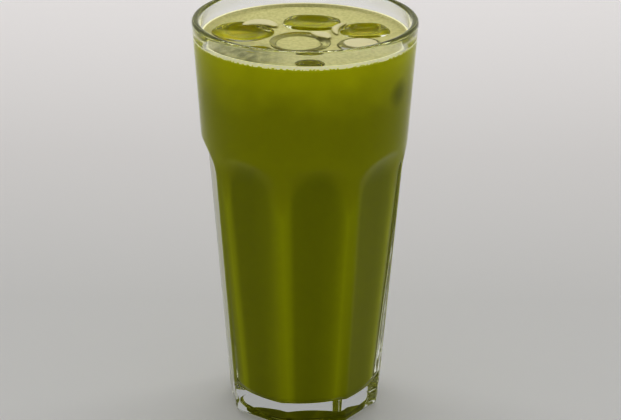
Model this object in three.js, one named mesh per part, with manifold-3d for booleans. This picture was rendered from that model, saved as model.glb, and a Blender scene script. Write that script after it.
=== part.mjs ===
// A tall eight-sided tumbler of iced matcha latte, in millimetres, +Z up.
// The origin is the centre of the base, on the surface that the glass stands on.
// The glass is one thick solid: a cone of revolution whose lower part is ground into eight flat
// panels, each ending in a rounded arch. Inside it are the drink, its foam and seven pieces of ice.
// Angles run from -Y, the front, towards +X.
import * as THREE from "three";
import { mergeVertices } from "three/addons/utils/BufferGeometryUtils.js";
import Module from "manifold-3d";

const wasm = await Module();
wasm.setup();

// Driving dimensions of the glass.
const glassHeight = 162.4;
const rimRadius = 44;
const shoulderRadius = 40.85;
const shoulderHeight = 117;
const footRadius = 31.3;
const footRounding = 2.2;
const lipThickness = 2.9;
const baseThickness = 8.6;
const cavityBottomRadius = 24.9;
const cavityBottomRounding = 4.5;
const cavityTopRadius = 40;
const cavityTopHeight = 154.2;
const underRecess = 0.9;
const underRecessRadius = 19;
const footRingInnerRadius = 20;

// The eight panels and the arches at their tops.
const panelCount = 8;
const panelTurn = 8.46;
const panelTopHeight = 103.5;
const archRadius = 24;
const panelBite = 0.12;

// The contents.
const drinkHeight = 154;
const foamThickness = 1.2;
const touchingGap = 0.3;

// Smoothness of the round shapes.
const glassSteps = 64;
const drinkSteps = 56;
const iceSteps = 20;

const degrees = Math.PI / 180;
const foamBottom = drinkHeight + touchingGap;
const foamTop = foamBottom + foamThickness;

const colours = {
  glass: new THREE.MeshStandardMaterial({
    name: "clear glass",
    color: 0xe3ebe5,
    roughness: 0.04,
    metalness: 0,
    transparent: true,
    opacity: 0.35,
  }),
  drink: new THREE.MeshStandardMaterial({
    name: "matcha drink",
    color: 0x747600,
    roughness: 0.35,
    metalness: 0,
  }),
  foam: new THREE.MeshStandardMaterial({
    name: "pale foam",
    color: 0xcfd292,
    roughness: 0.7,
    metalness: 0,
  }),
  ice: new THREE.MeshStandardMaterial({
    name: "wet ice",
    color: 0xb4bd7a,
    roughness: 0.08,
    metalness: 0,
    transparent: true,
    opacity: 0.7,
  }),
};

// A closed three.js geometry as a solid that can be joined and cut.
function solidOf(geometry) {
  const bare = new THREE.BufferGeometry();
  const flat = geometry.index ? geometry.toNonIndexed() : geometry;
  bare.setAttribute("position", flat.getAttribute("position"));
  const merged = mergeVertices(bare, 1e-4);
  const corners = merged.index.array;
  const kept = [];
  for (let i = 0; i < corners.length; i += 3) {
    const [a, b, c] = [corners[i], corners[i + 1], corners[i + 2]];
    if (a !== b && b !== c && c !== a) kept.push(a, b, c);
  }
  return new wasm.Manifold(
    new wasm.Mesh({
      numProp: 3,
      vertProperties: new Float32Array(merged.attributes.position.array),
      triVerts: new Uint32Array(kept),
    }),
  );
}

// A solid back as a three.js geometry.
function geometryOf(solid) {
  const mesh = solid.getMesh();
  const points = new Float32Array(mesh.numVert * 3);
  for (let i = 0; i < mesh.numVert; i += 1) {
    const start = i * mesh.numProp;
    points.set(mesh.vertProperties.subarray(start, start + 3), i * 3);
  }
  const geometry = new THREE.BufferGeometry();
  geometry.setAttribute("position", new THREE.BufferAttribute(points, 3));
  geometry.setIndex(new THREE.BufferAttribute(new Uint32Array(mesh.triVerts), 1));
  geometry.computeVertexNormals();
  return geometry;
}

// Points of a circular arc in the plane of radius and height, both ends included.
function arc(centreRadius, centreHeight, radius, fromDegrees, toDegrees, steps) {
  const points = [];
  for (let i = 0; i <= steps; i += 1) {
    const angle = (fromDegrees + ((toDegrees - fromDegrees) * i) / steps) * degrees;
    points.push([centreRadius + radius * Math.cos(angle), centreHeight + radius * Math.sin(angle)]);
  }
  return points;
}

// A profile of [radius, height] pairs, from the axis out, up and back to the axis, turned about +Z.
function turned(profile, steps, startDegrees = 0) {
  const points = profile.map(([radius, height]) => new THREE.Vector2(radius, height));
  const geometry = new THREE.LatheGeometry(points, steps, startDegrees * degrees);
  geometry.rotateX(Math.PI / 2);
  return geometry;
}

// The radius of a straight slope at a height between its two ends.
function radiusBetween(height, lowRadius, lowHeight, highRadius, highHeight) {
  return lowRadius + ((highRadius - lowRadius) * (height - lowHeight)) / (highHeight - lowHeight);
}

function outerRadius(height) {
  return height < shoulderHeight
    ? radiusBetween(height, footRadius, 0, shoulderRadius, shoulderHeight)
    : radiusBetween(height, shoulderRadius, shoulderHeight, rimRadius, glassHeight);
}

// The cavity is a straight cone, which opens a little faster over its last few millimetres.
const cavityFloorTop = baseThickness + cavityBottomRounding;
const lipRounding = lipThickness / 2;
const lipInnerHeight = glassHeight - lipRounding;

function cavityRadius(height) {
  return height < cavityTopHeight
    ? radiusBetween(height, cavityBottomRadius, cavityFloorTop, cavityTopRadius, cavityTopHeight)
    : radiusBetween(
        height,
        cavityTopRadius,
        cavityTopHeight,
        rimRadius - lipThickness,
        lipInnerHeight,
      );
}

// The cavity's profile up to a height, shrunk by a gap on every side.
function cavityProfile(topHeight, gap) {
  const cornerRadius = cavityBottomRounding - gap;
  const corner = arc(
    cavityBottomRadius - cavityBottomRounding,
    cavityFloorTop,
    cornerRadius,
    -90,
    0,
    4,
  );
  const profile = [[0, baseThickness + gap], ...corner];
  if (topHeight > cavityTopHeight) profile.push([cavityTopRadius - gap, cavityTopHeight]);
  profile.push([cavityRadius(topHeight) - gap, topHeight], [0, topHeight]);
  return profile;
}

// The glass before its panels: out along the ring foot, up the wall, over the lip, down inside.
function glassBlank() {
  const footCorner = arc(
    outerRadius(footRounding) - footRounding,
    footRounding,
    footRounding,
    -90,
    0,
    3,
  );
  const lip = arc(rimRadius - lipRounding, lipInnerHeight, lipRounding, 0, 180, 6);
  const inside = cavityProfile(cavityTopHeight, 0).slice(0, -1).reverse();
  const profile = [
    [0, underRecess],
    [underRecessRadius, underRecess],
    [footRingInnerRadius, 0],
    ...footCorner,
    [shoulderRadius, shoulderHeight],
    ...lip,
    ...inside,
  ];
  return solidOf(turned(profile, glassSteps, panelTurn - 180 / panelCount));
}

// The distance of a panel's flat face from the axis, so that its edges lie on the cone.
function panelDistance(height) {
  return outerRadius(height) * Math.cos(Math.PI / panelCount) - panelBite;
}

// What one panel takes off: outside its flat face, which is rounded under at the foot and
// curves outwards at its top, so that it meets the cone in an arch.
function panelCutter() {
  const lean = Math.atan2(
    panelDistance(panelTopHeight) - panelDistance(0),
    panelTopHeight,
  );
  const beyond = rimRadius + 6;
  const footCentre = panelDistance(footRounding) - footRounding;
  const foot = arc(footCentre, footRounding, footRounding, -90, 0, 3);
  const archCentreRadius = panelDistance(panelTopHeight) + archRadius * Math.cos(lean);
  const archCentreHeight = panelTopHeight - archRadius * Math.sin(lean);
  const leanDegrees = lean / degrees;
  const scoop = arc(
    archCentreRadius,
    archCentreHeight,
    archRadius,
    180 - leanDegrees,
    180 - leanDegrees - 42,
    7,
  );
  const outline = [
    [footCentre, -1],
    ...foot,
    ...scoop,
    [beyond, scoop.at(-1)[1]],
    [beyond, -1],
  ];
  const shape = new THREE.Shape(outline.map(([x, y]) => new THREE.Vector2(x, y)));
  const width = rimRadius;
  const geometry = new THREE.ExtrudeGeometry(shape, { depth: width, bevelEnabled: false });
  geometry.translate(0, 0, -width / 2);
  return geometry;
}

function makeGlass() {
  let glass = glassBlank();
  for (let i = 0; i < panelCount; i += 1) {
    const angle = (panelTurn + (360 * i) / panelCount) * degrees;
    const outward = new THREE.Vector3(Math.sin(angle), -Math.cos(angle), 0);
    const up = new THREE.Vector3(0, 0, 1);
    const along = new THREE.Vector3().crossVectors(outward, up);
    const cutter = panelCutter();
    cutter.applyMatrix4(new THREE.Matrix4().makeBasis(outward, up, along));
    glass = glass.subtract(solidOf(cutter));
  }
  return glass;
}

// The pieces of ice. Each is a melted thimble, wide end up: across and deep are its half widths
// at the top, edge is the rounding of its top edge, square is how far its outline is from a
// circle, and dimple is the hollow in its top.
const ices = [
  {
    name: "ice_middle",
    at: [-1.9, -8.8],
    top: 156.7,
    across: 12,
    deep: 12.8,
    tall: 27,
    edge: 1,
    square: 0.1,
    turn: 10,
    tilt: [0.5, 0],
    dimple: { radius: 9.3, depth: 6, shift: [-0.7, -1] },
  },
  {
    name: "ice_left",
    at: [-24.2, 4],
    top: 157,
    across: 12.2,
    deep: 12.4,
    tall: 28,
    edge: 2.2,
    square: 0.15,
    turn: 35,
    tilt: [1, 2],
    dimple: { radius: 7.5, depth: 1.2, shift: [0, 0] },
  },
  {
    name: "ice_back",
    at: [2.6, 16.4],
    top: 157.2,
    across: 11.8,
    deep: 10.6,
    tall: 27,
    edge: 2,
    square: 0.6,
    turn: -6,
    tilt: [-1.5, 1],
    dimple: { radius: 7.5, depth: 1, shift: [0, 0] },
  },
  {
    name: "ice_right",
    at: [23.2, 6.2],
    top: 157.2,
    across: 10.2,
    deep: 9.4,
    tall: 27,
    edge: 2.2,
    square: 0.45,
    turn: 8,
    tilt: [1, -1.5],
    dimple: { radius: 6.5, depth: 1.4, shift: [0, 0] },
  },
  {
    name: "ice_front_right",
    at: [21.4, -12.6],
    top: 157.4,
    across: 9.2,
    deep: 8.2,
    tall: 26,
    edge: 2,
    square: 0.2,
    turn: 20,
    tilt: [0.5, 0.5],
    dimple: { radius: 6.8, depth: 1.5, shift: [0, 0] },
  },
  {
    name: "ice_front_left",
    at: [-18, -19.2],
    top: 156.8,
    across: 5.8,
    deep: 5.8,
    tall: 24,
    edge: 1.6,
    square: 0.2,
    turn: 0,
    tilt: [-1, 1],
    dimple: { radius: 3.6, depth: 0.8, shift: [0, 0] },
  },
  {
    name: "ice_front",
    at: [1.9, -34.6],
    top: 156.5,
    across: 5.6,
    deep: 3.4,
    tall: 22,
    edge: 1.4,
    square: 0.2,
    turn: 15,
    tilt: [-1, 0],
    dimple: { radius: 3.4, depth: 0.8, shift: [0, 0] },
  },
];

const iceTaper = 0.8;
const iceFootRounding = 4;
const squareness = 0.07;
const sunkRise = 0.4;
const pocketGap = touchingGap + 0.08;
const pocketRise = 6;

// A dimple's profile from its edge down to the axis: a shallow bowl.
function dimpleProfile(radius, depth, steps) {
  const points = [];
  for (let i = 0; i <= steps; i += 1) {
    const share = 1 - i / steps;
    points.push([radius * share, -depth * (1 - share ** 3)]);
  }
  return points;
}

// Moves each point of a turned piece out towards the corners of a rounded square, squeezes its
// round outline to the depth of the piece, and shifts the hollow in its top.
function reshape(geometry, ice) {
  const points = geometry.getAttribute("position");
  const turn = ice.turn * degrees;
  const { radius, shift } = ice.dimple;
  for (let i = 0; i < points.count; i += 1) {
    const [x, y] = [points.getX(i), points.getY(i)];
    const angle = Math.atan2(y, x) - turn;
    const corner = 1 - squareness * ice.square * Math.cos(4 * angle);
    const inHollow = points.getZ(i) > -ice.tall / 2 && Math.hypot(x, y) < radius + 0.01;
    const [shiftX, shiftY] = inHollow ? shift : [0, 0];
    points.setX(i, x * corner + shiftX);
    points.setY(i, y * corner * (ice.deep / ice.across) + shiftY);
  }
}

function place(geometry, ice) {
  geometry.rotateX(ice.tilt[0] * degrees);
  geometry.rotateY(ice.tilt[1] * degrees);
  geometry.translate(ice.at[0], ice.at[1], ice.top - sunkRise);
}

// The lower end of a piece, from the axis out and up, grown by a gap.
function iceFoot(ice, gap) {
  const centreRadius = ice.across * iceTaper - iceFootRounding;
  const centreHeight = iceFootRounding - ice.tall;
  return [
    [0, -ice.tall - gap],
    ...arc(centreRadius, centreHeight, iceFootRounding + gap, -90, 0, 3),
  ];
}

function iceSolid(ice) {
  const profile = [
    ...iceFoot(ice, 0),
    ...arc(ice.across - ice.edge, -ice.edge, ice.edge, 0, 90, 3),
    ...dimpleProfile(ice.dimple.radius, ice.dimple.depth, 3),
  ];
  const geometry = turned(profile, iceSteps);
  reshape(geometry, ice);
  place(geometry, ice);
  return solidOf(geometry);
}

// The pocket that a piece floats in, a gap larger than the piece and running up past it.
function pocketSolid(ice) {
  const profile = [
    ...iceFoot(ice, pocketGap),
    [ice.across + pocketGap, -ice.edge],
    [ice.across + pocketGap, pocketRise],
    [0, pocketRise],
  ];
  const geometry = turned(profile, iceSteps);
  reshape(geometry, ice);
  place(geometry, ice);
  return solidOf(geometry);
}

function withPockets(solid) {
  return ices.reduce((rest, ice) => rest.subtract(pocketSolid(ice)), solid);
}

function makeDrink() {
  return withPockets(solidOf(turned(cavityProfile(drinkHeight, touchingGap), drinkSteps)));
}

function makeFoam() {
  const bottomRadius = cavityRadius(foamBottom) - touchingGap;
  const topRadius = cavityRadius(foamTop) - touchingGap;
  const profile = [
    [0, foamBottom],
    [bottomRadius, foamBottom],
    [topRadius, foamTop],
    [0, foamTop],
  ];
  return withPockets(solidOf(turned(profile, drinkSteps)));
}

// Foam that lies in the hollow top of one piece of ice. Its edge is at a level below the ice's
// own edge, and its middle stands a crown higher.
function foamInDimple(iceName, level, crown) {
  const ice = ices.find((piece) => piece.name === iceName);
  const { radius, depth } = ice.dimple;
  const inset = touchingGap + 0.1;
  const edgeShare = Math.cbrt(1 + level / depth);
  const edge = (radius - inset) * edgeShare;
  const floor = dimpleProfile(radius - inset, depth - inset, 3).filter(([r]) => r < edge - 0.3);
  const profile = [
    ...floor.reverse(),
    [edge, level],
    [edge * 0.7, level + crown * 0.75],
    [0, level + crown],
  ];
  const geometry = turned(profile, iceSteps);
  reshape(geometry, ice);
  place(geometry, ice);
  return solidOf(geometry);
}

const latte = new THREE.Group();
latte.name = "iced_matcha_latte";

function addPiece(name, solid, material) {
  const piece = new THREE.Mesh(geometryOf(solid), material);
  piece.name = name;
  latte.add(piece);
}

addPiece("glass", makeGlass(), colours.glass);
addPiece("drink", makeDrink(), colours.drink);
addPiece("foam", makeFoam(), colours.foam);
for (const ice of ices) addPiece(ice.name, iceSolid(ice), colours.ice);
addPiece("foam_in_middle_ice", foamInDimple("ice_middle", -0.7, 0.2), colours.foam);
addPiece("foam_on_front_right_ice", foamInDimple("ice_front_right", 0, 0.6), colours.foam);

export default latte;
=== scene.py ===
# %% [markdown]
# # An iced matcha latte in a tall panelled glass
#
# A pressed tumbler, thick and clear, holds a dense green drink with a pale froth on top and a few
# pieces of melting ice. Almost everything that the eye reads here is bent light: the drink seems
# to fill the glass to its edges, the panels turn into light and dark stripes, and the heavy base
# shows a bright band under the drink. So the shapes of the glass and of what touches it have to be
# right, and the render then finds most of the rest by itself.
#
# The CAD model has the same pieces as plain faceted solids. Faceted glass would show every facet
# twice, so each piece is made again here as a fine smooth surface in the same place.

# %% Load the frame
import math

import bpy
import numpy as np
from mathutils import Matrix, Vector


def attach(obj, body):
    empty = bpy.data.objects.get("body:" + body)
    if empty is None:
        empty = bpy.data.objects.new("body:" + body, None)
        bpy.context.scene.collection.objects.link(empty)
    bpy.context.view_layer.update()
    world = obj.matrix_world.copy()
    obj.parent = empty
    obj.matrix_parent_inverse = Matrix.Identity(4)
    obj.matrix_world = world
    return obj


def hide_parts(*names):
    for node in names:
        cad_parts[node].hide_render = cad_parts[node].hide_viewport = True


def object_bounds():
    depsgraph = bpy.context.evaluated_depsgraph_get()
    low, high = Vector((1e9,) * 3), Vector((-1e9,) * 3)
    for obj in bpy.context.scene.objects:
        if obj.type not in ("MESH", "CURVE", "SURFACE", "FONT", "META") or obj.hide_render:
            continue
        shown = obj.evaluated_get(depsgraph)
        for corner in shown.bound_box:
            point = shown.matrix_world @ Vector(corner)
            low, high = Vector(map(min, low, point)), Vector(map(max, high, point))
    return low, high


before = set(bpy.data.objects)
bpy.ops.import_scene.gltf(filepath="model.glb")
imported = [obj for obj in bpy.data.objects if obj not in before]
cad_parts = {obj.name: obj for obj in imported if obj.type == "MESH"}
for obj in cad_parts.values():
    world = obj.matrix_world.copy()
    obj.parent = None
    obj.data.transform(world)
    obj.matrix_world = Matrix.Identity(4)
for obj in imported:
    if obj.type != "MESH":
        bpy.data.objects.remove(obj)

cad_low, cad_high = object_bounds()
MM = 0.001
DEGREES = math.pi / 180
print("CAD box in mm:", [round(v / MM, 1) for v in (*cad_low, *cad_high)])

# %% [markdown]
# ## Camera
#
# The photograph looks down at the glass from about a metre away, with a long lens. The place, the
# tilt and the lens below are worked out from the outlines of the rim, the panels and the foot.

# %% Camera
picture_width = 621
lens_in_pixels = 2274.1
sensor_width = 36.0
camera_place = Vector((2.5, -842.7, 421.3)) * MM
camera_dip = 21.92
camera_roll = 0.35

camera_data = bpy.data.cameras.new("camera")
camera_data.sensor_width = sensor_width
camera_data.lens = lens_in_pixels / picture_width * sensor_width
camera_data.clip_start = 0.01
camera = bpy.data.objects.new("camera", camera_data)
camera.matrix_world = (
    Matrix.Translation(camera_place)
    @ Matrix.Rotation((90 - camera_dip) * DEGREES, 4, "X")
    @ Matrix.Rotation(camera_roll * DEGREES, 4, "Z")
)
bpy.context.scene.collection.objects.link(camera)
bpy.context.scene.camera = camera
print("lens in mm:", round(camera_data.lens, 1))

# %% [markdown]
# ## Helpers for turned shapes
#
# Nearly every piece is turned: a profile carried round the vertical axis. A grid of points holds
# it, one row for each point of the profile and one column for each step round the axis. The first
# and the last row shrink to a single point on the axis, so the surface is closed.

# %% Helpers for turned shapes
def closed_mesh(name, grid):
    """A mesh from a grid of points (row, column, xyz) whose first and last rows are poles.

    Rows run out from the lower pole, up, and back to the upper one, and columns run
    anticlockwise seen from above, so that every face looks outwards.
    """
    rows, columns, _ = grid.shape
    points = np.vstack([grid[0, :1], grid[1:-1].reshape(-1, 3), grid[-1, :1]])
    ring = np.arange(columns)
    following = (ring + 1) % columns
    starts = 1 + columns * np.arange(rows - 3)[:, None]
    quads = np.stack(
        [starts + ring, starts + following, starts + columns + following, starts + columns + ring],
        axis=-1,
    ).reshape(-1, 4)
    last = 1 + columns * (rows - 3)
    top = len(points) - 1
    low_fan = np.stack([np.zeros_like(ring), 1 + following, 1 + ring], axis=-1)
    high_fan = np.stack([np.full_like(ring, top), last + ring, last + following], axis=-1)
    mesh = bpy.data.meshes.new(name)
    mesh.from_pydata(points.tolist(), [], quads.tolist() + low_fan.tolist() + high_fan.tolist())
    mesh.validate()
    mesh.shade_smooth()
    return mesh


def add_piece(name, mesh, material):
    """A piece of the object, with its place in its mesh and its object at the origin."""
    piece = bpy.data.objects.new(name, mesh)
    bpy.context.scene.collection.objects.link(piece)
    mesh.materials.append(material)
    return piece


def turned_grid(radii, heights, turns):
    """Points at angle turn from -Y towards +X: x = r sin(turn), y = -r cos(turn), z = height."""
    radii, heights, turns = np.broadcast_arrays(radii, heights, turns)
    return np.stack([radii * np.sin(turns), -radii * np.cos(turns), heights], axis=-1)


def arc(centre_radius, centre_height, radius, start, end, steps):
    """Radii and heights along a circular arc between two angles in degrees, both ends included."""
    angles = np.linspace(start, end, steps) * DEGREES
    return centre_radius + radius * np.cos(angles), centre_height + radius * np.sin(angles)


def smooth_least(a, b, blend):
    """The lesser of two lengths, with the corner between them rounded over a width of blend."""
    near = np.clip(blend - np.abs(a - b), 0, None) / blend
    return np.minimum(a, b) - near**2 * blend / 4


def smooth_step(low, high, value):
    """0 below low, 1 above high, and an S-shaped curve between them."""
    share = np.clip((value - low) / (high - low), 0, 1)
    return share * share * (3 - 2 * share)


# %% [markdown]
# ## Sizes
#
# Everything is worked out from the glass's real sizes, here in millimetres and turned into metres
# where the meshes are made. The top of the CAD box gives the height, and the widest point of the
# rim gives its radius, so the two models can't drift apart.

# %% Sizes
glass_height = cad_high.z / MM
rim_radius = cad_high.x / MM
shoulder_radius, shoulder_height = 40.85, 117.0
foot_radius, foot_rounding = 31.3, 2.2
lip_rounding = 1.45
lip_centre_height = glass_height - lip_rounding
base_thickness = 8.6
cavity_low_radius, cavity_corner = 24.9, 4.5
cavity_low_height = base_thickness + cavity_corner
cavity_high_radius, cavity_high_height = 40.0, 154.2
recess_depth, recess_radius, ring_radius = 0.9, 18.8, 20.6

panel_count = 8
panel_turn = 8.46 * DEGREES
panel_span = 2 * math.pi / panel_count
panel_top = 103.5
arch_radius = 24.0
panel_bite = 0.12
ridge_blend, arch_blend = 1.3, 0.7

foam_low, foam_high = 154.5, 155.1
foam_climb, foam_climb_width = 1.1, 1.6
touch = 0.1
print("glass height in mm:", round(glass_height, 2))

# %% [markdown]
# ## The glass's outer surface
#
# A tumbler like this is a cone with eight flat panels pressed into its lower part. A panel is a
# plane, and at its top it curves outwards along a circular arc until it leaves the cone, which
# draws the arch. The distance of any point from the axis is then the least of three: the cone, and
# the two nearest panels. Taking that least value smoothly gives the soft edges of pressed glass.

# %% The glass's outer surface
steepest_scoop = 0.97


def cone_radius(height):
    """Radius of the cone: one slope up to the shoulder and a slightly steeper one to the rim."""
    return np.interp(
        height, [0, shoulder_height, glass_height], [foot_radius, shoulder_radius, rim_radius]
    )


def panel_distance(height):
    """Distance of a panel from the axis: a straight slope, then the arch's arc curving outwards."""
    low = cone_radius(0.0) * math.cos(panel_span / 2) - panel_bite
    high = cone_radius(panel_top) * math.cos(panel_span / 2) - panel_bite
    lean = math.atan2(high - low, panel_top)
    centre_distance = high + arch_radius * math.cos(lean)
    centre_height = panel_top - arch_radius * math.sin(lean)
    rise = np.clip(height - centre_height, 0, arch_radius * steepest_scoop)
    scoop = centre_distance - np.sqrt(arch_radius**2 - rise**2)
    return np.where(height < panel_top, low + (high - low) * height / panel_top, scoop)


def outer_radius(turn, height):
    """Smooth least of the cone and the two nearest panels, each panel being distance / cos."""
    offset = np.mod(turn - panel_turn + panel_span / 2, panel_span) - panel_span / 2
    distance = panel_distance(height)
    nearest = distance / np.cos(offset)
    neighbour = distance / np.cos(panel_span - np.abs(offset))
    panels = smooth_least(nearest, neighbour, ridge_blend)
    return smooth_least(panels, cone_radius(height), arch_blend)


def cavity_radius(height):
    """Radius of the cavity: a straight cone that opens a little faster near the lip."""
    return np.interp(
        height,
        [cavity_low_height, cavity_high_height, lip_centre_height],
        [cavity_low_radius, cavity_high_radius, rim_radius - 2 * lip_rounding],
    )


print("width across two panels at the foot in mm:", round(2 * float(panel_distance(0.0)), 1))

# %% [markdown]
# ## The glass as one closed surface
#
# The profile starts on the axis under the base, goes out over the shallow recess to the ring that
# the glass stands on, round the foot, up the wall, over the lip and down inside to the axis again.
# Rows are closest where the arches are, and columns are closest at the panels' edges.

# %% The glass as one closed surface
columns_per_panel = 40
even = np.linspace(0, 1, columns_per_panel, endpoint=False)
crowding = 0.6
eased = even - crowding * np.sin(2 * math.pi * even) / (2 * math.pi)
panel_starts = panel_turn - panel_span / 2 + panel_span * np.arange(panel_count)
glass_turns = (panel_starts[:, None] + panel_span * eased[None, :]).ravel()
row_step, arch_row_step = 3.0, 0.4
print("columns round the glass:", len(glass_turns))


def glass_grid():
    """Rows of radius and height for the whole profile, each radius a function of the turn."""
    recess_edge = np.linspace(recess_radius, ring_radius, 8)
    under_radii = np.concatenate([[0.0], np.linspace(6, 18, 4), recess_edge, [24.0]])
    under_heights = recess_depth * (1 - smooth_step(recess_radius, ring_radius, under_radii))
    corner = np.linspace(-90, 0, 9) * DEGREES
    corner_heights = foot_rounding * (1 + np.sin(corner))
    corner_inset = foot_rounding * (1 - np.cos(corner))
    arch_rows = np.arange(100, 119.6, arch_row_step)
    wall_heights = np.concatenate(
        [np.arange(5, 99, row_step), arch_rows, np.arange(121, 160, row_step)]
    )
    lip_radii, lip_heights = arc(rim_radius - lip_rounding, lip_centre_height, lip_rounding, 0, 180, 15)
    inner_heights = np.arange(159, cavity_low_height + 1, -row_step)
    floor_radii, floor_heights = arc(
        cavity_low_radius - cavity_corner, cavity_low_height, cavity_corner, 0, -90, 10
    )
    heights = np.concatenate([corner_heights, wall_heights])
    insets = np.concatenate([corner_inset, np.zeros_like(wall_heights)])
    outside = outer_radius(glass_turns[None, :], heights[:, None]) - insets[:, None]
    before = np.repeat(under_radii[:, None], len(glass_turns), axis=1)
    after_radii = np.concatenate(
        [lip_radii, cavity_radius(inner_heights), floor_radii, [16.0, 8.0, 0.0]]
    )
    after_heights = np.concatenate(
        [lip_heights, inner_heights, floor_heights, [base_thickness] * 3]
    )
    after = np.repeat(after_radii[:, None], len(glass_turns), axis=1)
    radii = np.vstack([before, outside, after])
    all_heights = np.concatenate([under_heights, heights, after_heights])
    return turned_grid(radii, all_heights[:, None], glass_turns[None, :]) * MM


# %% [markdown]
# ## A ripple for glass and ice
#
# Pressed glass and melting ice are never quite even, and the faint waves show where light bends.
# Displaced meshes would be heavy, so one shader node group holds the waves as a soft noise. It
# puts out only a height, which each material turns into a bump of its own depth.

# %% A shared ripple
def make_group(name, inputs, outputs):
    """An empty shader node group with named sockets, and its input and output nodes."""
    group = bpy.data.node_groups.new(name, "ShaderNodeTree")
    for socket, kind, value in inputs:
        made = group.interface.new_socket(socket, in_out="INPUT", socket_type=kind)
        if value is not None:
            made.default_value = value
    for socket, kind in outputs:
        group.interface.new_socket(socket, in_out="OUTPUT", socket_type=kind)
    return group, group.nodes.new("NodeGroupInput"), group.nodes.new("NodeGroupOutput")


ripple_group, ripple_in, ripple_out = make_group(
    "ripple",
    [("Scale", "NodeSocketFloat", 60.0), ("Stretch", "NodeSocketFloat", 1.0)],
    [("Height", "NodeSocketFloat")],
)
ripple_place = ripple_group.nodes.new("ShaderNodeTexCoord")
ripple_stretch = ripple_group.nodes.new("ShaderNodeCombineXYZ")
ripple_stretch.inputs["X"].default_value = 1.0
ripple_stretch.inputs["Y"].default_value = 1.0
ripple_squeeze = ripple_group.nodes.new("ShaderNodeVectorMath")
ripple_squeeze.operation = "MULTIPLY"
ripple_noise = ripple_group.nodes.new("ShaderNodeTexNoise")
ripple_noise.inputs["Detail"].default_value = 2.0
ripple_links = ripple_group.links
ripple_links.new(ripple_in.outputs["Stretch"], ripple_stretch.inputs["Z"])
ripple_links.new(ripple_place.outputs["Object"], ripple_squeeze.inputs[0])
ripple_links.new(ripple_stretch.outputs["Vector"], ripple_squeeze.inputs[1])
ripple_links.new(ripple_squeeze.outputs["Vector"], ripple_noise.inputs["Vector"])
ripple_links.new(ripple_in.outputs["Scale"], ripple_noise.inputs["Scale"])
ripple_links.new(ripple_noise.outputs["Fac"], ripple_out.inputs["Height"])
print("ripple puts out:", [socket.name for socket in ripple_out.inputs if socket.name])

# %% [markdown]
# ## Starting a material
#
# Every material here is one Principled shader with a few nodes before it. Starting from an empty
# tree shows exactly what each of them is made of. The ripple goes in front of the shader's normal.

# %% Starting a material
def new_material(name):
    """A material with its tree cleared down to one Principled shader."""
    material = bpy.data.materials.new(name)
    material.use_nodes = True
    tree = material.node_tree
    tree.nodes.clear()
    output = tree.nodes.new("ShaderNodeOutputMaterial")
    shader = tree.nodes.new("ShaderNodeBsdfPrincipled")
    tree.links.new(shader.outputs["BSDF"], output.inputs["Surface"])
    return material, tree, shader


def add_ripple(tree, shader, scale, stretch, depth):
    """Feeds the shared ripple into the shader's normal as a bump of the given depth in metres."""
    ripple = tree.nodes.new("ShaderNodeGroup")
    ripple.node_tree = ripple_group
    ripple.inputs["Scale"].default_value = scale
    ripple.inputs["Stretch"].default_value = stretch
    bump = tree.nodes.new("ShaderNodeBump")
    bump.inputs["Distance"].default_value = depth
    bump.inputs["Strength"].default_value = 1.0
    tree.links.new(ripple.outputs["Height"], bump.inputs["Height"])
    tree.links.new(bump.outputs["Normal"], shader.inputs["Normal"])


# %% [markdown]
# ## Clear glass and clear ice
#
# Both are clear solids, and they differ in how strongly they bend light. The Principled shader at
# full transmission does the rest, as long as each surface is closed and faces outwards. The
# specular tint lowers the faint reflection at the front, which would lie over the dark drink like
# a veil. Melting ice also scatters light a little, so it gets some roughness and a deeper ripple.

# %% Clear glass and clear ice
def clear_material(name, colour, refraction, shine, roughness, ripple_scale, ripple_depth):
    """A clear solid: full transmission, its own refraction, and a faint ripple."""
    material, tree, shader = new_material(name)
    shader.inputs["Base Color"].default_value = (*colour, 1)
    shader.inputs["Roughness"].default_value = roughness
    shader.inputs["IOR"].default_value = refraction
    shader.inputs["Transmission Weight"].default_value = 1.0
    shader.inputs["Specular Tint"].default_value = (shine, shine, shine, 1)
    add_ripple(tree, shader, ripple_scale, 0.5, ripple_depth)
    return material


glass_material = clear_material("clear_glass", (0.985, 0.995, 0.985), 1.5, 0.4, 0.0, 40, 0.00006)
ice_material = clear_material("wet_ice", (0.98, 0.98, 0.95), 1.31, 0.1, 0.12, 160, 0.0004)
print("clear materials:", glass_material.name, ice_material.name)

# %% [markdown]
# ## The tumbler
#
# The closed surface from above becomes the tumbler. It takes the place of the CAD solid, which has
# the same sizes in flat facets, and keeps its body.

# %% The tumbler
glass = add_piece("tumbler", closed_mesh("tumbler", glass_grid()), glass_material)
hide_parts("glass")
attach(glass, "root")
print("tumbler:", len(glass.data.polygons), "faces")

# %% [markdown]
# ## Helpers for colours that change over a surface
#
# A shader is a net of small nodes, and the same few are needed again and again: a mix of two
# colours, a ramp, a change of range, a step of arithmetic, a noise, and the distance from an
# upright axis. All of them start from the place on the piece itself, so a colour stays where it is
# in every view.

# %% Helpers for colours that change over a surface
def mix_colour(tree, share, first, second, blend="MIX"):
    """A mix of two colours, each a socket or plain values, by a share that is a socket or a number."""
    mix = tree.nodes.new("ShaderNodeMix")
    mix.data_type = "RGBA"
    mix.blend_type = blend
    for socket, value in ((mix.inputs[0], share), (mix.inputs[6], first), (mix.inputs[7], second)):
        if isinstance(value, bpy.types.NodeSocket):
            tree.links.new(value, socket)
        elif isinstance(value, tuple):
            socket.default_value = (*value, 1)
        else:
            socket.default_value = value
    return mix.outputs[2]


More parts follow.
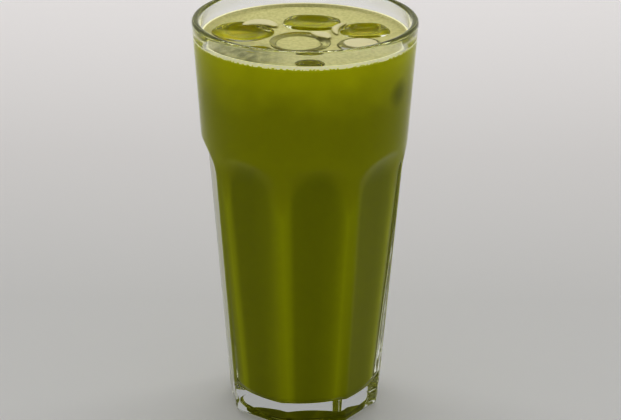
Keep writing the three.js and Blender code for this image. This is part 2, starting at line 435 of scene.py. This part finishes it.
def colour_ramp(tree, share, stops):
    """Colours between stops, each a position and a colour, read at a share."""
    ramp = tree.nodes.new("ShaderNodeValToRGB")
    elements = ramp.color_ramp.elements
    while len(elements) < len(stops):
        elements.new(0.5)
    for element, (position, colour) in zip(elements, stops):
        element.position = position
        element.color = (*colour, 1)
    tree.links.new(share, ramp.inputs["Fac"])
    return ramp.outputs["Color"]


def greys(stops):
    """The same stops with each number made a grey colour."""
    return [(position, (grey, grey, grey)) for position, grey in stops]


def map_range(tree, value, low, high, to_low=0.0, to_high=1.0):
    """A value carried linearly from one range to another, and kept inside it."""
    carry = tree.nodes.new("ShaderNodeMapRange")
    for socket, number in zip(carry.inputs[1:5], (low, high, to_low, to_high)):
        socket.default_value = number
    tree.links.new(value, carry.inputs[0])
    return carry.outputs[0]


def calculate(tree, operation, *values):
    """One step of arithmetic on sockets or numbers."""
    step = tree.nodes.new("ShaderNodeMath")
    step.operation = operation
    for socket, value in zip(step.inputs, values):
        if isinstance(value, bpy.types.NodeSocket):
            tree.links.new(value, socket)
        else:
            socket.default_value = value
    return step.outputs[0]


def axis_distance(tree, parts, centre=(0.0, 0.0)):
    """Distance from an upright axis: the square root of the sum of the squares of x and y."""
    squares = []
    for i in (0, 1):
        offset = calculate(tree, "SUBTRACT", parts.outputs[i], centre[i] * MM)
        squares.append(calculate(tree, "MULTIPLY", offset, offset))
    return calculate(tree, "SQRT", calculate(tree, "ADD", *squares))


def place_on_piece(tree):
    """The place on the piece in metres, as one vector and as a node that splits it in x, y, z."""
    place = tree.nodes.new("ShaderNodeTexCoord").outputs["Object"]
    parts = tree.nodes.new("ShaderNodeSeparateXYZ")
    tree.links.new(place, parts.inputs[0])
    return place, parts


def soft_noise(tree, place, scale, detail):
    """A soft noise of the given scale in waves for each metre, read at the place."""
    noise = tree.nodes.new("ShaderNodeTexNoise")
    noise.inputs["Scale"].default_value = scale
    noise.inputs["Detail"].default_value = detail
    tree.links.new(place, noise.inputs["Vector"])
    return noise.outputs["Fac"]


# %% [markdown]
# ## The polish of the lip
#
# The lip of a pressed glass is melted smooth in a flame, so it shines more than the rest. A coat
# whose weight rises with the height gives it a second, brighter reflection.

# %% The polish of the lip
polish_low, polish_high = 157 * MM, 158.5 * MM
glass_tree = glass_material.node_tree
_, glass_parts = place_on_piece(glass_tree)
lip_share = map_range(glass_tree, glass_parts.outputs["Z"], polish_low, polish_high)
glass_tree.links.new(lip_share, glass_tree.nodes["Principled BSDF"].inputs["Coat Weight"])
print("the lip's polish starts at", round(polish_low / MM), "mm")

# %% [markdown]
# ## The ice
#
# Each piece is a thimble of clear ice, melted round, with its wide end up. It could be a bevelled
# cube, but a turned profile melts evenly all round and keeps the hollow in its top in one surface.
# A few plain values in mm and degrees say where each piece floats, how big it is, and how deep the
# pocket is that shows through it. They come first because the drink's colours need them too.

# %% The pieces of ice
ice_pieces = {
    "ice_middle": dict(at=(-1.9, -8.8), top=156.7, across=12, deep=12.8, tall=27, edge=1,
                       square=0.1, turn=10, tilt=(0.5, 0), hollow=(9.3, 6), pocket=1.6, shift=(-0.7, -1)),
    "ice_left": dict(at=(-24.2, 4), top=157, across=12.2, deep=12.4, tall=28, edge=2.2,
                     square=0.15, turn=35, tilt=(1, 2), hollow=(7.5, 1.2), pocket=4.5),
    "ice_back": dict(at=(2.6, 16.4), top=157.2, across=11.8, deep=10.6, tall=27, edge=2,
                     square=0.6, turn=-6, tilt=(-1.5, 1), hollow=(7.5, 1), pocket=4.5),
    "ice_right": dict(at=(23.2, 6.2), top=157.2, across=10.2, deep=9.4, tall=27, edge=2.2,
                      square=0.45, turn=8, tilt=(1, -1.5), hollow=(6.5, 1.4), pocket=4.5),
    "ice_front_right": dict(at=(21.4, -12.6), top=157.4, across=9.2, deep=8.2, tall=26, edge=2,
                            square=0.2, turn=20, tilt=(0.5, 0.5), hollow=(6.8, 1.5), pocket=1.8),
    "ice_front_left": dict(at=(-18, -19.2), top=156.8, across=5.8, deep=5.8, tall=24, edge=1.6,
                           square=0.2, turn=0, tilt=(-1, 1), hollow=(3.6, 0.8), pocket=4),
    "ice_front": dict(at=(1.9, -34.6), top=156.5, across=5.6, deep=3.4, tall=22, edge=1.4,
                      square=0.2, turn=15, tilt=(-1, 0), hollow=(3.4, 0.8), pocket=4),
}
print("pieces of ice:", len(ice_pieces))

# %% [markdown]
# ## The drink's colour by height
#
# Milk scatters light under its surface, so a latte glows softly, most of all near the top where
# froth is mixed in. A scattering volume would find this by itself, but it is slow and grainy
# behind thick glass. Here the drink is opaque, and the glow is painted on it by height: painted
# light that makes the drink lighter towards the top. A noise is added to the height first, so the
# painted glow lies in soft clouds.

# %% The drink's colour by height
drink_material, drink_tree, drink_shader = new_material("matcha_drink")
drink_place, drink_parts = place_on_piece(drink_tree)
# Painted light: the drink's colour grows lighter towards the top, where scattered light makes it glow.
glow_low, glow_high = 116 * MM, 156 * MM
painted_glow_share = map_range(drink_tree, drink_parts.outputs["Z"], glow_low, glow_high)
cloudiness = 0.13
cloud_noise = soft_noise(drink_tree, drink_place, 60.0, 2.0)
clouds = map_range(drink_tree, cloud_noise, 0.3, 0.7, -cloudiness, cloudiness)
painted_glow_colour = colour_ramp(
    drink_tree,
    calculate(drink_tree, "ADD", painted_glow_share, clouds),
    [(0.0, (0.455, 0.47, 0.0)), (0.42, (0.465, 0.48, 0.0)), (0.66, (0.575, 0.59, 0.0)),
     (0.86, (0.665, 0.68, 0.0)), (1.0, (0.72, 0.73, 0.0))],
)
print("the drink is lightest at", round(glow_high / MM), "mm")

# %% [markdown]
# ## A dark patch on the drink
#
# The drink shows a dark patch at the upper right. It is painted into the drink's colour: the
# distance from one place gives a soft ball, and the drink's surface cuts a patch out of it.

# %% A dark patch on the drink
# The drink's colour is painted darker in a soft patch round one place at the upper right.
dark_patch_centre = (34.8, -18.4, 138.5)
patch_reach, patch_core, patch_strength = 7 * MM, 2 * MM, 0.75
dark_patch_distance = drink_tree.nodes.new("ShaderNodeVectorMath")
dark_patch_distance.operation = "DISTANCE"
dark_patch_distance.inputs[1].default_value = [v * MM for v in dark_patch_centre]
drink_tree.links.new(drink_place, dark_patch_distance.inputs[0])
dark_patch_share = map_range(
    drink_tree, dark_patch_distance.outputs["Value"], patch_reach, patch_core, 0.0, patch_strength
)
glow_and_patch_colour = mix_colour(drink_tree, dark_patch_share, painted_glow_colour, (0.27, 0.28, 0.0))
print("dark patch:", round(2 * patch_reach / MM), "mm wide")

# %% [markdown]
# ## Stripes and arches on the drink
#
# Light enters each flat panel as one broad beam. Behind an edge the beams of two panels meet, and
# the drink shows a lighter stripe there, while it is darker behind the middle of a panel and up to
# its arch. The turn round the axis, counted in panels, leaves a fraction that runs from 0 at one
# edge to 1 at the next, and a ramp over that fraction draws the stripe. A parabola over the same
# fraction, added to the height, draws the arch.

# %% Stripes and arches on the drink
turn_now = calculate(
    drink_tree, "ARCTAN2", drink_parts.outputs["X"],
    calculate(drink_tree, "MULTIPLY", drink_parts.outputs["Y"], -1.0),
)
first_panel = 0.5 - panel_turn / panel_span + panel_count
panel_share = calculate(
    drink_tree, "FRACT",
    calculate(drink_tree, "MULTIPLY_ADD", turn_now, 1 / panel_span, first_panel),
)
stripe_share = colour_ramp(
    drink_tree,
    panel_share,
    greys([(0.0, 0.9), (0.08, 0.7), (0.17, 0.0), (0.55, 0.0), (0.8, 0.3), (0.92, 0.65), (0.985, 0.95)]),
)
arch_drop, arch_low, arch_high = 18 * MM, 108.5 * MM, 114.5 * MM
panel_offset = calculate(drink_tree, "MULTIPLY_ADD", panel_share, 2.0, -1.0)
arch_height = calculate(
    drink_tree, "MULTIPLY_ADD",
    calculate(drink_tree, "MULTIPLY", panel_offset, panel_offset), arch_drop,
    drink_parts.outputs["Z"],
)
arch_share = map_range(drink_tree, arch_height, arch_high, arch_low)
panel_colour = mix_colour(drink_tree, arch_share, glow_and_patch_colour, (0.378, 0.398, 0.0))
stripe_strength = 0.3
stripe_amount = calculate(
    drink_tree, "MULTIPLY", calculate(drink_tree, "MULTIPLY", stripe_share, arch_share), stripe_strength
)
striped_colour = mix_colour(drink_tree, stripe_amount, panel_colour, (1.0, 1.0, 0.0), "DODGE")
print("stripes:", panel_count)

# %% [markdown]
# ## The drink under the ice
#
# Through a piece of ice the drink looks amber and uneven, and milky under the two pieces that
# carry foam. The pockets are the only part of the drink that shows high up and clear of the wall,
# so a height and a distance from the axis pick them out.

# %% The drink under the ice
pocket_low, pocket_high = 142 * MM, 144 * MM
pocket_outer, pocket_inner = 38.7 * MM, 38.2 * MM
pocket_share = calculate(
    drink_tree, "MULTIPLY",
    map_range(drink_tree, axis_distance(drink_tree, drink_parts), pocket_outer, pocket_inner),
    map_range(drink_tree, drink_parts.outputs["Z"], pocket_low, pocket_high),
)
pocket_colour = colour_ramp(
    drink_tree,
    soft_noise(drink_tree, drink_place, 70.0, 2.0),
    [(0.38, (0.70, 0.69, 0.0)), (0.52, (0.80, 0.78, 0.02)), (0.66, (0.93, 0.83, 0.06))],
)
milky_pockets = ["ice_middle", "ice_front_right"]
milky_margin, milky_softness = 0.6, 0.3
for name in milky_pockets:
    from_axis = axis_distance(drink_tree, drink_parts, ice_pieces[name]["at"])
    reach = ice_pieces[name]["across"] + milky_margin
    milky_share = map_range(drink_tree, from_axis, reach * MM, (reach - milky_softness) * MM)
    pocket_colour = mix_colour(drink_tree, milky_share, pocket_colour, (0.88, 0.86, 0.42))
drink_seen_colour = mix_colour(drink_tree, pocket_share, striped_colour, pocket_colour)
print("milky pockets:", len(milky_pockets))

# %% [markdown]
# ## The mirror between drink and glass
#
# Glass bends light more than a drink does, so light that runs nearly along the wall can't enter
# the drink: the boundary mirrors it completely. That is why the thick wall looks clear at both
# sides of a filled glass. An opaque drink would turn those edges green, so a Fresnel node with the
# drink's refraction over the glass's turns the surface into a mirror at just those angles. It is
# kept to the side, so that the bottom still shows its green through the base. The surface's own
# shine is nearly switched off, since two such near refractions leave little to reflect elsewhere.

# %% The mirror between drink and glass
water_refraction, soda_glass_refraction = 1.33, 1.52
refraction_ratio = water_refraction / soda_glass_refraction
mirror_low, mirror_high = 9.5 * MM, 12.5 * MM
drink_edge = drink_tree.nodes.new("ShaderNodeFresnel")
drink_edge.inputs["IOR"].default_value = refraction_ratio
mirror_share = calculate(
    drink_tree, "MULTIPLY", drink_edge.outputs[0],
    map_range(drink_tree, drink_parts.outputs["Z"], mirror_low, mirror_high),
)
drink_colour = mix_colour(drink_tree, mirror_share, drink_seen_colour, (1.0, 1.0, 1.0))
drink_tree.links.new(drink_colour, drink_shader.inputs["Base Color"])
drink_tree.links.new(mirror_share, drink_shader.inputs["Metallic"])
drink_shader.inputs["Roughness"].default_value = 0.03
drink_shader.inputs["IOR"].default_value = 1.01
print("the drink's side mirrors beyond", round(math.asin(refraction_ratio) / DEGREES), "degrees")

# %% [markdown]
# ## The froth's colour
#
# Froth is fine bubbles, pale where it is piled up. At the front left it is darker, in patches.
# Two noises give the bubbles and the patches, and the place gives the rest.

# %% The froth's colour
foam_material, foam_tree, foam_shader = new_material("pale_foam")
foam_place, foam_parts = place_on_piece(foam_tree)
bubbles = soft_noise(foam_tree, foam_place, 900.0, 3.0)
patches = soft_noise(foam_tree, foam_place, 260.0, 3.0)
froth_colour = colour_ramp(
    foam_tree, bubbles, [(0.35, (0.57, 0.55, 0.25)), (0.65, (0.69, 0.66, 0.35))]
)
piled_low, piled_high = 155.4 * MM, 156.3 * MM
piled_share = map_range(foam_tree, foam_parts.outputs["Z"], piled_low, piled_high)
piled_colour = mix_colour(foam_tree, piled_share, froth_colour, (0.72, 0.68, 0.44))
# The froth's colour is painted darker in patches round one place at the front left.
dark_froth_centre = (-26.0, -27.0)
dark_froth_outer, dark_froth_inner = 22 * MM, 8 * MM
dark_froth_distance = axis_distance(foam_tree, foam_parts, dark_froth_centre)
dark_froth_share = calculate(
    foam_tree, "MULTIPLY",
    map_range(foam_tree, dark_froth_distance, dark_froth_outer, dark_froth_inner),
    map_range(foam_tree, patches, 0.36, 0.6, 0.25, 0.85),
)
froth_seen = mix_colour(foam_tree, dark_froth_share, piled_colour, (0.19, 0.19, 0.055))
foam_shader.inputs["Roughness"].default_value = 0.6
print("froth is thin round", dark_froth_centre)

# %% [markdown]
# ## The froth's edge at the wall
#
# Where the froth lies against the wall it shines, since light reaches it from all sides through
# the lip, and its lower edge is beaded with bubbles. The height plus a fine noise goes through a
# ramp, so each bubble ends at a level of its own. A little light of its own gives the line its glow.

# %% The froth's edge at the wall
edge_low, edge_high = 154.4 * MM, 155.9 * MM
edge_inner, edge_outer = 39.7 * MM, 39.9 * MM
edge_glow_strength = 0.22
edge_bubbles = soft_noise(foam_tree, foam_place, 1100.0, 0.0)
edge_colour = colour_ramp(
    foam_tree,
    calculate(
        foam_tree, "ADD",
        map_range(foam_tree, foam_parts.outputs["Z"], edge_low, edge_high, 0.0, 0.75),
        map_range(foam_tree, edge_bubbles, 0.4, 0.6, 0.0, 0.5),
    ),
    [(0.2, (0.60, 0.61, 0.05)), (0.42, (0.95, 0.93, 0.62)), (1.0, (0.97, 0.95, 0.68))],
)
edge_share = map_range(foam_tree, axis_distance(foam_tree, foam_parts), edge_inner, edge_outer)
foam_colour = mix_colour(foam_tree, edge_share, froth_seen, edge_colour)
edge_glow = mix_colour(foam_tree, edge_share, (0.0, 0.0, 0.0), edge_colour)
foam_tree.links.new(edge_glow, foam_shader.inputs["Emission Color"])
foam_shader.inputs["Emission Strength"].default_value = edge_glow_strength
foam_tree.links.new(foam_colour, foam_shader.inputs["Base Color"])
print("the froth's edge glows from", round(edge_low / MM, 1), "to", round(edge_high / MM, 1), "mm")

# %% [markdown]
# ## The shape of the ice
#
# A circle is pushed out towards the corners of a square, squeezed, tilted and moved to its place.
# The profile goes from the axis under the piece round its foot, up the side, over the melted edge
# and down into the hollow.

# %% The shape of the ice
ice_taper = 0.8
ice_foot_rounding = 4.0
squareness = 0.07
floats_lower = 1.2
ice_turns = np.linspace(0, 2 * math.pi, 72, endpoint=False)
hollow_margin = 0.03
print("steps round a piece of ice:", len(ice_turns))


def placed(ice, radii, heights):
    """Turned points reshaped to a rounded square, squeezed, tilted about X then Y, and moved.

    The radius is multiplied by 1 - s cos(4 a), with a the angle and s the squareness. The points
    of the hollow in the top are also shifted sideways, where the piece has a shift.
    """
    grid = turned_grid(radii[:, None], heights[:, None], ice_turns[None, :])
    angle = np.arctan2(grid[..., 1], grid[..., 0]) - ice["turn"] * DEGREES
    corner = 1 - squareness * ice["square"] * np.cos(4 * angle)
    shift = ice.get("shift", (0, 0))
    in_hollow = (radii < ice["hollow"][0] + hollow_margin) & (heights > -ice["tall"] / 2)
    grid[..., 0] = grid[..., 0] * corner + np.where(in_hollow, shift[0], 0)[:, None]
    grid[..., 1] *= corner * ice["deep"] / ice["across"]
    grid[..., 1] += np.where(in_hollow, shift[1], 0)[:, None]
    tilt = Matrix.Rotation(ice["tilt"][1] * DEGREES, 3, "Y") @ Matrix.Rotation(
        ice["tilt"][0] * DEGREES, 3, "X"
    )
    moved = grid @ np.array(tilt).T + np.array([*ice["at"], ice["top"] - floats_lower])
    return moved * MM


def ice_side(ice):
    """Radii and heights from the axis under a piece up to the start of its rounded top edge."""
    foot_centre = ice["across"] * ice_taper - ice_foot_rounding
    foot_radii, foot_heights = arc(
        foot_centre, ice_foot_rounding - ice["tall"], ice_foot_rounding, -90, 0, 8
    )
    side_radii = np.linspace(foot_radii[-1], ice["across"], 14)[1:-1]
    side_heights = np.linspace(foot_heights[-1], -ice["edge"], 14)[1:-1]
    radii = np.concatenate([[0, foot_radii[0] / 2], foot_radii, side_radii])
    heights = np.concatenate([[foot_heights[0]] * 2, foot_heights, side_heights])
    return radii, heights


def hollow_profile(radius, depth, steps):
    """A shallow bowl from its edge to the axis: depth times (1 - share of the radius cubed)."""
    share = np.linspace(1, 0, steps)
    return radius * share, -depth * (1 - share**3)


def ice_mesh(name, ice):
    """A piece of ice: side, rounded top edge, and the hollow in its top."""
    side_radii, side_heights = ice_side(ice)
    edge_radii, edge_heights = arc(
        ice["across"] - ice["edge"], -ice["edge"], ice["edge"], 0, 90, 9
    )
    bowl_radii, bowl_heights = hollow_profile(*ice["hollow"], 12)
    radii = np.concatenate([side_radii, edge_radii, bowl_radii])
    heights = np.concatenate([side_heights, edge_heights, bowl_heights])
    return closed_mesh(name, placed(ice, radii, heights))


# %% [markdown]
# ## The pockets under the ice
#
# Real ice floats deep, but only the dip that shows through its top matters, since nobody sees
# through the drink. So each pocket is shallow, a hair narrower than its piece, and has a rounded
# floor. The hair is an overlap that leaves no film of air at the sides.

# %% The pockets under the ice
pocket_overlap = 0.06
pocket_corner = 1.5
pocket_rise = 6.0


def pocket_mesh(name, ice):
    """The dip under a piece: its outline less the overlap, down to a floor with a round corner."""
    wall = ice["across"] - pocket_overlap
    depth = ice["pocket"] + ice["edge"]
    corner_radii, corner_heights = arc(
        wall - pocket_corner, pocket_corner - depth, pocket_corner, -90, 0, 8
    )
    radii = np.concatenate([[0, corner_radii[0] / 2], corner_radii, [wall, wall, wall / 2, 0]])
    heights = np.concatenate([[-depth] * 2, corner_heights, [0, pocket_rise, pocket_rise, pocket_rise]])
    return closed_mesh(name, placed({**ice, "shift": (0, 0)}, radii, heights))


for name, ice in ice_pieces.items():
    piece = add_piece(name + "_clear", ice_mesh(name, ice), ice_material)
    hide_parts(name)
    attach(piece, "root")
    print(piece.name, "has", len(piece.data.polygons), "faces")

# %% [markdown]
# ## Cutting the pockets
#
# The pockets go through the froth into the drink, so they are cut out of both with Boolean
# modifiers. The manifold solver is quick and exact on closed meshes like these.

# %% Cutting the pockets
def cut_pockets(piece):
    """Takes every ice pocket out of a piece and keeps the result as its plain mesh."""
    cutters = []
    for name, ice in ice_pieces.items():
        cutter = bpy.data.objects.new(name + "_pocket", pocket_mesh(name + "_pocket", ice))
        bpy.context.scene.collection.objects.link(cutter)
        cut = piece.modifiers.new("cut", "BOOLEAN")
        cut.operation = "DIFFERENCE"
        cut.solver = "MANIFOLD"
        cut.object = cutter
        cutters.append(cutter)
    graph = bpy.context.evaluated_depsgraph_get()
    carved = bpy.data.meshes.new_from_object(piece.evaluated_get(graph))
    piece.modifiers.clear()
    piece.data = carved
    for cutter in cutters:
        bpy.data.objects.remove(cutter)
    carved.shade_smooth()
    carved.set_sharp_from_angle(angle=40 * DEGREES)


# %% [markdown]
# ## The drink
#
# The drink fills the cavity. It is turned to the cavity's own profile and reaches a tenth of a
# millimetre into the wall, so that no film of air shows between it and the glass.

# %% The drink
content_turns = np.linspace(0, 2 * math.pi, 256, endpoint=False)


def drink_grid():
    """The cavity's profile, grown by the touch, up to just inside the foam."""
    corner_radii, corner_heights = arc(
        cavity_low_radius - cavity_corner, cavity_low_height, cavity_corner + touch, -90, 0, 10
    )
    wall_heights = np.append(np.arange(15, 153, row_step), foam_low + touch)
    wall_radii = cavity_radius(wall_heights) + touch
    radii = np.concatenate([[0, 10], corner_radii, wall_radii, [20, 0]])
    heights = np.concatenate(
        [[base_thickness - touch] * 2, corner_heights, wall_heights, [foam_low + touch] * 2]
    )
    return turned_grid(radii[:, None], heights[:, None], content_turns[None, :]) * MM


drink = add_piece("latte", closed_mesh("latte", drink_grid()), drink_material)
cut_pockets(drink)
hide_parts("drink")
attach(drink, "root")
print("latte:", len(drink.data.polygons), "faces")

# %% [markdown]
# ## The froth
#
# The froth is a thin layer on the drink. Where it meets the glass it climbs a millimetre, and this
# edge is the light line that runs round the glass under the lip.

# %% The froth
def foam_grid():
    """A flat layer whose height rises by a smooth step where it meets the wall."""
    rings = np.concatenate([np.linspace(0, 37, 40), np.linspace(37.4, 40.0, 10)])
    wall = cavity_radius(foam_high) + touch
    radii = np.concatenate([[0, 20, cavity_radius(foam_low) + touch, wall], rings[::-1]])
    climb = foam_climb * smooth_step(wall - foam_climb_width, wall, rings[::-1])
    heights = np.concatenate([[foam_low - touch] * 3, [foam_high + foam_climb], foam_high + climb])
    return turned_grid(radii[:, None], heights[:, None], content_turns[None, :]) * MM


foam = add_piece("froth", closed_mesh("froth", foam_grid()), foam_material)
cut_pockets(foam)
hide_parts("foam")
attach(foam, "root")
print("froth:", len(foam.data.polygons), "faces")

# %% [markdown]
# ## Foam on the ice
#
# Two pieces carry a disc of milky foam in their hollow. Its underside is the hollow's own bowl and
# its top a low crown, so it sits in the ice with no gap.

# %% Foam on the ice
def foam_fill(name, ice, level, crown):
    """Foam in a piece's hollow: the bowl's own shape below, grown a hair, and a low crown above.

    Its edge meets the bowl at the given level, where the bowl's share of the radius is the cube
    root of 1 + level / depth.
    """
    hair, edge_margin = 0.02, 0.05
    radius, depth = ice["hollow"]
    bowl_radii, bowl_heights = hollow_profile(radius + hair, depth + hair, 24)
    edge = radius * (1 + level / depth) ** (1 / 3)
    under = bowl_heights < level - edge_margin
    share = np.linspace(1, 0, 12)
    radii = np.concatenate([bowl_radii[under][::-1], edge * share])
    heights = np.concatenate([bowl_heights[under][::-1], level + crown * (1 - share**2)])
    return closed_mesh(name, placed(ice, radii, heights))


for name, ice_name, node, level, crown in (
    ("froth_in_middle_ice", "ice_middle", "foam_in_middle_ice", -0.7, 0.2),
    ("froth_on_front_right_ice", "ice_front_right", "foam_on_front_right_ice", 0.0, 0.6),
):
    piece = add_piece(name, foam_fill(name, ice_pieces[ice_name], level, crown), foam_material)
    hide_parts(node)
    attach(piece, "root")
    print(piece.name, "has", len(piece.data.polygons), "faces")

# %% [markdown]
# ## Drifts of froth
#
# Where froth has piled up, it lies in small curved drifts against the edges of the ice. Each one
# is an ellipse carried along a curve through three places, and it shrinks to a point at both ends.
# They belong to the froth, so they stand for the same CAD node as it does.

# %% Drifts of froth
drift_end = 0.6


def drift_mesh(name, places, level, half_width, half_height):
    """An ellipse swept along the parabola through three places.

    At the share s of the way its size is sin(pi s) to the power that drift_end gives.
    """
    start, middle, end = (np.array([x, y, level]) for x, y in places)
    share = np.linspace(0, 1, 30)[:, None]
    control = 2 * middle - (start + end) / 2
    line = (1 - share) ** 2 * start + 2 * share * (1 - share) * control + share**2 * end
    along = 2 * (1 - share) * (control - start) + 2 * share * (end - control)
    along /= np.linalg.norm(along, axis=1, keepdims=True)
    side = np.cross([0.0, 0.0, 1.0], along)
    size = np.sin(math.pi * share) ** drift_end
    around = np.linspace(0, 2 * math.pi, 24, endpoint=False)[None, :]
    across = half_width * size * np.cos(around)
    upward = half_height * size * np.sin(around)
    grid = line[:, None, :] + across[..., None] * side[:, None, :]
    grid[..., 2] += upward
    return closed_mesh(name, grid * MM)


froth_drifts = {
    "froth_drift_left": dict(places=[(-24.7, 10.8), (-17.5, 14.6), (-11.0, 9.1)], level=155.8,
                             half_width=3.4, half_height=0.8),
    "froth_drift_right": dict(places=[(16.4, 14.9), (12.0, 8.4), (12.6, -0.2)], level=155.6,
                              half_width=1.5, half_height=0.8),
    "froth_drift_middle": dict(places=[(2.0, 1.9), (6.4, -0.8), (9.4, -5.4)], level=155.8,
                               half_width=2.8, half_height=0.7),
}
for name, drift in froth_drifts.items():
    piece = add_piece(name, drift_mesh(name, **drift), foam_material)
    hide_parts("foam")
    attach(piece, "root")
print("drifts of froth:", len(froth_drifts))

# %% [markdown]
# ## The floor
#
# A pale floor runs out of the picture on all sides. Its colour carries painted light: it is lighter
# towards the back, with a faint painted shadow a tenth of a metre behind the glass. Part of its
# brightness is its own light, so that it stays even under the glass, where a real white room would
# brighten it from every side. A hair of air is left under the foot, as under any real glass, and
# because of it the underside of the base mirrors the drink.

# %% The floor
floor_half = 4.0
floor_level = -0.05 * MM
floor_glow_strength = 0.42
floor_mesh = bpy.data.meshes.new("floor")
floor_mesh.from_pydata(
    [(-floor_half, -floor_half, floor_level), (floor_half, -floor_half, floor_level),
     (floor_half, floor_half, floor_level), (-floor_half, floor_half, floor_level)],
    [],
    [(0, 1, 2, 3)],
)
floor_material, floor_tree, floor_shader = new_material("pale_floor")
_, floor_parts = place_on_piece(floor_tree)
# Pale floor colour with painted light: lighter towards the back, and a faint painted shadow a tenth of a
# metre behind the glass.
floor_colour_and_light = colour_ramp(
    floor_tree,
    map_range(floor_tree, floor_parts.outputs["Y"], -0.1, 0.6),
    [(0.0, (0.445, 0.443, 0.436)), (0.28, (0.43, 0.426, 0.419)), (0.55, (0.48, 0.47, 0.463)),
     (1.0, (0.60, 0.585, 0.58))],
)
floor_tree.links.new(floor_colour_and_light, floor_shader.inputs["Base Color"])
floor_tree.links.new(floor_colour_and_light, floor_shader.inputs["Emission Color"])
floor_shader.inputs["Emission Strength"].default_value = floor_glow_strength
floor_shader.inputs["Roughness"].default_value = 0.7
floor = add_piece("floor", floor_mesh, floor_material)
print("floor:", 2 * floor_half, "m wide")

# %% [markdown]
# ## The light above
#
# One long strip of light above the back of the glass draws the highlight on the lip. An area lamp
# does this best, because its reflection has the strip's own length and straight edges.

# %% The light above
def softbox(name, place, aim, width, height, power):
    """A rectangular light at a place in metres, facing a point."""
    data = bpy.data.lights.new(name, "AREA")
    data.shape = "RECTANGLE"
    data.size, data.size_y, data.energy = width, height, power
    lamp = bpy.data.objects.new(name, data)
    lamp.location = place
    lamp.rotation_euler = (Vector(aim) - Vector(place)).to_track_quat("-Z", "Y").to_euler()
    bpy.context.scene.collection.objects.link(lamp)


strip_place, strip_aim = (0.0, 0.45, 1.0), (0, 0, 0.05)
strip_width, strip_height, strip_power = 1.6, 0.1, 7
softbox("light_above", strip_place, strip_aim, strip_width, strip_height, strip_power)
print("strip of light:", strip_width, "m wide")

# %% [markdown]
# ## The room's light
#
# The other light is soft, from a white room: bright at eye level, dim overhead and calmer behind
# the glass. Light crosses many surfaces before it leaves the base or the wall beside the drink, so
# it may bend and mirror more often than Blender allows by default. Without that, those places turn
# black.

# %% The room's light
room_strength = 1.7
most_bounces, mirror_bounces, glass_bounces = 32, 16, 24
world = bpy.data.worlds.new("room")
world.use_nodes = True
room_tree = world.node_tree
room_parts = room_tree.nodes.new("ShaderNodeSeparateXYZ")
room_tree.links.new(
    room_tree.nodes.new("ShaderNodeTexCoord").outputs["Generated"], room_parts.inputs[0]
)
room_back = calculate(
    room_tree, "MULTIPLY",
    map_range(room_tree, room_parts.outputs["Y"], 0.2, 0.6),
    map_range(room_tree, room_parts.outputs["Z"], 0.85, 0.55),
)
room_colour = colour_ramp(
    room_tree,
    room_parts.outputs["Z"],
    greys([(0.0, 1.0), (0.35, 0.62), (0.7, 0.25), (1.0, 0.2)]),
)
room_seen = mix_colour(room_tree, room_back, room_colour, (0.31, 0.31, 0.31))
room_tree.links.new(room_seen, room_tree.nodes["Background"].inputs["Color"])
room_tree.nodes["Background"].inputs["Strength"].default_value = room_strength
bpy.context.scene.world = world
bpy.context.scene.cycles.max_bounces = most_bounces
bpy.context.scene.cycles.glossy_bounces = mirror_bounces
bpy.context.scene.cycles.transmission_bounces = glass_bounces
print("the light may bounce", most_bounces, "times")

# %% [markdown]
# ## Picture finish
#
# The photograph has strong contrast: its greens are deep and have no blue left in them. The
# standard view keeps colours as they are, a power of 1.5 raises the contrast, and a hair of blue is
# taken off the whole picture, which the pale floor hardly shows.

# %% Picture finish
contrast_power = 1.5
blue_offset = -0.013
bpy.context.scene.view_settings.view_transform = "Standard"
bpy.context.scene.use_nodes = True
finish_tree = bpy.context.scene.node_tree
finish_tree.nodes.clear()
picture = finish_tree.nodes.new("CompositorNodeRLayers")
balance = finish_tree.nodes.new("CompositorNodeColorBalance")
balance.correction_method = "OFFSET_POWER_SLOPE"
balance.offset = (0.0, 0.0, blue_offset)
balance.power = (contrast_power, contrast_power, contrast_power)
finished = finish_tree.nodes.new("CompositorNodeComposite")
finish_tree.links.new(picture.outputs["Image"], balance.inputs["Image"])
finish_tree.links.new(balance.outputs["Image"], finished.inputs["Image"])
print("contrast power:", contrast_power)
